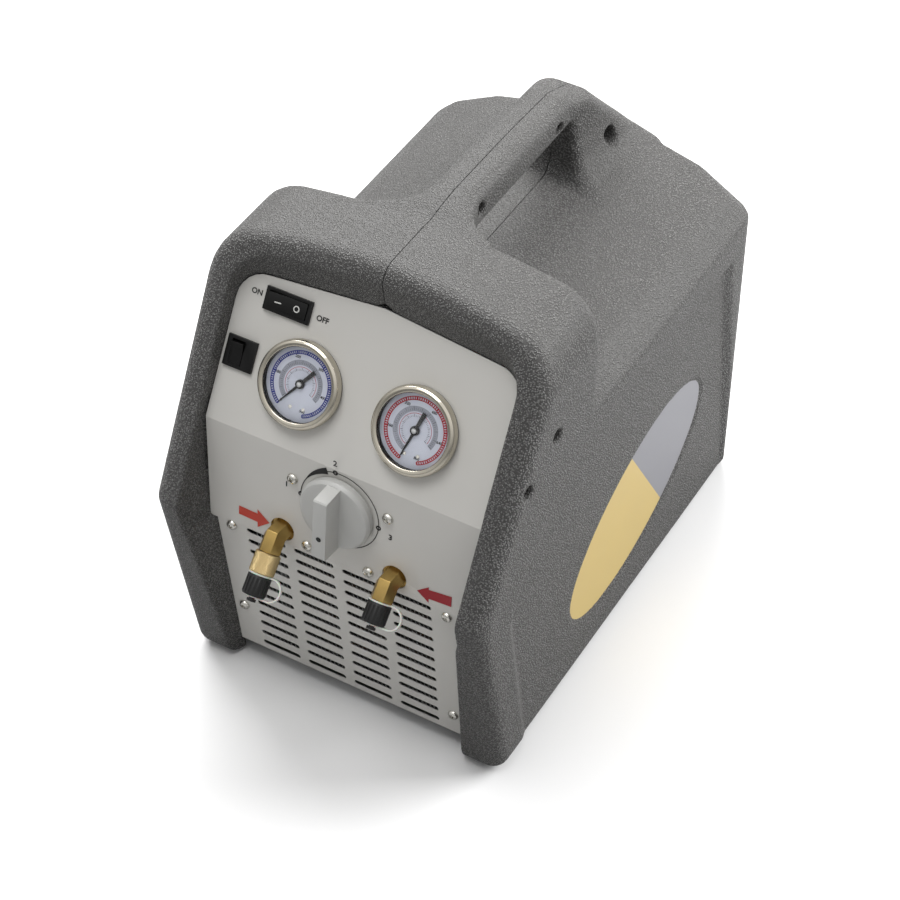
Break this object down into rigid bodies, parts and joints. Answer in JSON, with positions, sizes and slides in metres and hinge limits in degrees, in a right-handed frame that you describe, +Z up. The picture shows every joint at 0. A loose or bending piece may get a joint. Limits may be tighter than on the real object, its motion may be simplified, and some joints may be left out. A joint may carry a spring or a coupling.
{
  "type": "refrigerant recovery machine",
  "caption": "Portable refrigerant recovery machine: grey moulded halves with a handle, leaning front panel with gauges, selector knob, switch and capped hose ports, motor compressor inside.",
  "frame": {"origin": "middle of the bounding box at floor level", "axes": "+X to the right seen from the front, +Y from the front panel to the rear, +Z up"},
  "size_m": [0.25, 0.4119, 0.3599],
  "materials": {
    "aluminium": "machined",
    "bezel_chrome": "bright",
    "black_gloss": "gloss",
    "black_plastic": "satin",
    "brass": "machined",
    "copper": "copper tube",
    "dark_paint": "smooth paint",
    "dial_white": "matt print",
    "foot_rubber": "matt",
    "housing_plastic": "pebble grain",
    "knob_grey": "satin",
    "lens_glass": "clear",
    "motor_paint": "enamel",
    "panel_paint": "smooth paint",
    "sheet_steel": "zinc plated",
    "steel": "plated",
    "strap_plastic": "translucent"
  },
  "bodies": {
    "housing": {"right_shell": "housing_plastic", "left_shell": "housing_plastic", "front_panel": "panel_paint", "rear_panel": "dark_paint", "base_plate": "sheet_steel", "rubber_feet": "foot_rubber", "switch_housing": "black_gloss", "breaker_housing": "black_gloss", "left_gauge_case": "dark_paint", "left_gauge_bezel": "bezel_chrome", "left_gauge_lens": "lens_glass", "left_gauge_dial": "dial_white", "right_gauge_case": "dark_paint", "right_gauge_bezel": "bezel_chrome", "right_gauge_lens": "lens_glass", "right_gauge_dial": "dial_white", "valve_manifold": "aluminium", "manifold_screws": "steel", "panel_screws": "steel", "inlet_elbow": "brass", "outlet_elbow": "brass", "condenser_fins": "aluminium", "condenser_tube": "copper", "condenser_frame": "sheet_steel", "fan_shroud": "black_plastic", "motor_can": "motor_paint", "motor_cradle": "sheet_steel", "crankcase": "aluminium", "compressor_cylinder": "aluminium", "cylinder_head": "aluminium", "run_capacitor": "aluminium", "capacitor_clamp": "sheet_steel", "pressure_switch": "steel", "left_capillary": "copper", "right_capillary": "copper", "suction_pipe": "copper", "discharge_pipe": "copper", "liquid_pipe": "copper", "power_inlet": "black_plastic", "inlet_pins": "steel", "shell_screws": "steel", "frame_screws": "steel", "rear_screws": "steel"},
    "selector": {"valve_knob": "knob_grey", "valve_stem": "brass"},
    "power_rocker": {"switch_rocker": "black_gloss"},
    "breaker_paddle": {"breaker_button": "black_gloss"},
    "left_pointer": {"left_needle": "dark_paint"},
    "right_pointer": {"right_needle": "dark_paint"},
    "rotor": {"cooling_fan": "black_plastic", "motor_shaft": "steel"},
    "collar": {"inlet_collar": "brass"},
    "inlet_dust_cap": {"inlet_cap": "black_plastic", "inlet_strap": "strap_plastic"},
    "outlet_dust_cap": {"outlet_cap": "black_plastic", "outlet_strap": "strap_plastic"}
  },
  "joints": [
    {"name": "selector_turn", "type": "hinge", "parent": "housing", "child": "selector", "pos_m": [0, -0.15885, 0.19649], "axis": [0, 0.9955, -0.0945], "range_deg": [0, 270]},
    {"name": "power_rocker_tilt", "type": "hinge", "parent": "housing", "child": "power_rocker", "pos_m": [-0.0654, -0.10906, 0.30547], "axis": [0, -0.5075, -0.8616], "range_deg": [0, 14]},
    {"name": "breaker_tilt", "type": "hinge", "parent": "housing", "child": "breaker_paddle", "pos_m": [-0.0922, -0.13023, 0.26954], "axis": [-1, 0, 0], "range_deg": [0, 14]},
    {"name": "left_pointer_turn", "type": "hinge", "parent": "housing", "child": "left_pointer", "pos_m": [-0.0425, -0.13302, 0.26677], "axis": [0, 0.8616, -0.5075], "range_deg": [0, 300]},
    {"name": "right_pointer_turn", "type": "hinge", "parent": "housing", "child": "right_pointer", "pos_m": [0.0425, -0.13302, 0.26677], "axis": [0, 0.8616, -0.5075], "range_deg": [0, 320]},
    {"name": "rotor_spin", "type": "hinge", "parent": "housing", "child": "rotor", "pos_m": [0, -0.09786, 0.078], "axis": [0, 1, 0], "continuous": true},
    {"name": "collar_turn", "type": "hinge", "parent": "housing", "child": "collar", "pos_m": [-0.043, -0.17134, 0.1601], "axis": [0, -0.7, -0.7142], "continuous": true},
    {"name": "inlet_cap_pull", "type": "slide", "parent": "housing", "child": "inlet_dust_cap", "axis": [0, -0.7, -0.7142], "range_m": [0, 0.01]},
    {"name": "outlet_cap_pull", "type": "slide", "parent": "housing", "child": "outlet_dust_cap", "axis": [0, -0.7, -0.7142], "range_m": [0, 0.01]}
  ]
}
